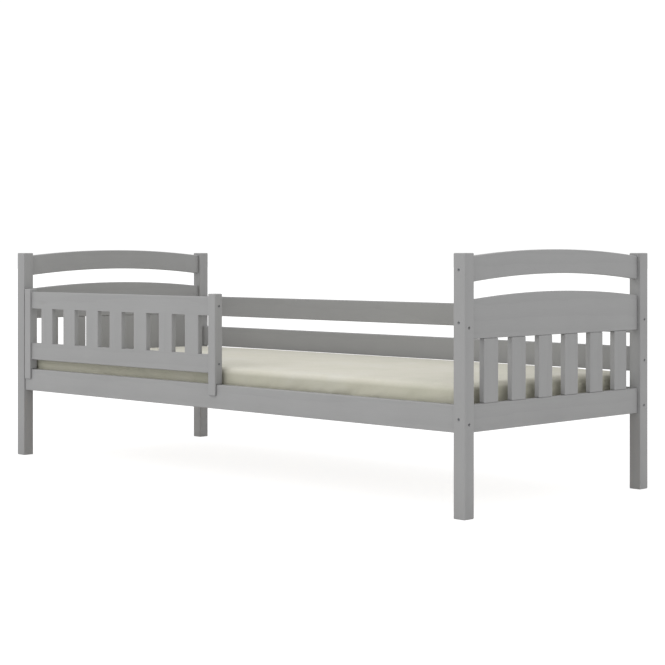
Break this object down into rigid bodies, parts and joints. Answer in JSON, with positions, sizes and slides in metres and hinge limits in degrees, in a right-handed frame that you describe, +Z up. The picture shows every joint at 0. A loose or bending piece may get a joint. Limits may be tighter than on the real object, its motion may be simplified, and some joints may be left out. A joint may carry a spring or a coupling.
{
  "type": "child's single bed with guard rails",
  "caption": "Low child's single bed in grey painted pine with arched slatted ends, rails along the back, a lift-off slatted guard on the front and a foam mattress.",
  "frame": {"origin": "middle of the footprint, on the floor", "axes": "+X from the head end to the foot end, -Y to the front where the lift-off guard hangs, +Z up"},
  "size_m": [2.074, 0.86, 0.725],
  "materials": {
    "painted_pine": "satin grey paint over pine",
    "bare_pine": "planed and unpainted",
    "zinc_steel": "zinc plated",
    "mattress_ticking": "woven cotton ticking"
  },
  "bodies": {
    "root": {"post_front_head": "painted_pine", "post_back_head": "painted_pine", "post_front_foot": "painted_pine", "post_back_foot": "painted_pine", "head_top_rail": "painted_pine", "head_panel": "painted_pine", "head_lower_rail": "painted_pine", "head_slat_1": "painted_pine", "head_slat_2": "painted_pine", "head_slat_3": "painted_pine", "head_slat_4": "painted_pine", "head_slat_5": "painted_pine", "head_slat_6": "painted_pine", "foot_top_rail": "painted_pine", "foot_panel": "painted_pine", "foot_lower_rail": "painted_pine", "foot_slat_1": "painted_pine", "foot_slat_2": "painted_pine", "foot_slat_3": "painted_pine", "foot_slat_4": "painted_pine", "foot_slat_5": "painted_pine", "foot_slat_6": "painted_pine", "side_rail_front": "painted_pine", "side_rail_back": "painted_pine", "back_guard_rail_lower": "painted_pine", "back_guard_rail_upper": "painted_pine", "bolt_side_rail_front_head": "zinc_steel", "bolt_side_rail_front_foot": "zinc_steel", "bolt_side_rail_back_head": "zinc_steel", "bolt_side_rail_back_foot": "zinc_steel", "bolt_back_guard_rail_lower_head": "zinc_steel", "bolt_back_guard_rail_lower_foot": "zinc_steel", "bolt_back_guard_rail_upper_head": "zinc_steel", "bolt_back_guard_rail_upper_foot": "zinc_steel", "ledger_front": "painted_pine", "ledger_back": "painted_pine", "base_slat_1": "bare_pine", "base_slat_2": "bare_pine", "base_slat_3": "bare_pine", "base_slat_4": "bare_pine", "base_slat_5": "bare_pine", "base_slat_6": "bare_pine", "base_slat_7": "bare_pine", "base_slat_8": "bare_pine", "base_slat_9": "bare_pine", "base_slat_10": "bare_pine"},
    "guard": {"guard_stile_head": "painted_pine", "guard_stile_foot": "painted_pine", "guard_hook_head": "zinc_steel", "guard_hook_foot": "zinc_steel", "guard_rail_bottom": "painted_pine", "guard_rail_top": "painted_pine", "guard_slat_1": "painted_pine", "guard_slat_2": "painted_pine", "guard_slat_3": "painted_pine", "guard_slat_4": "painted_pine", "guard_slat_5": "painted_pine", "guard_slat_6": "painted_pine", "guard_slat_7": "painted_pine"},
    "mattress": {"mattress": "mattress_ticking"}
  },
  "joints": [
    {"name": "guard_lift_off", "type": "slide", "parent": "root", "child": "guard", "axis": [0, 0, 1], "range_m": [0, 0.46]},
    {"name": "mattress_lift_out", "type": "slide", "parent": "root", "child": "mattress", "axis": [0, 0, 1], "range_m": [0, 0.46]}
  ]
}
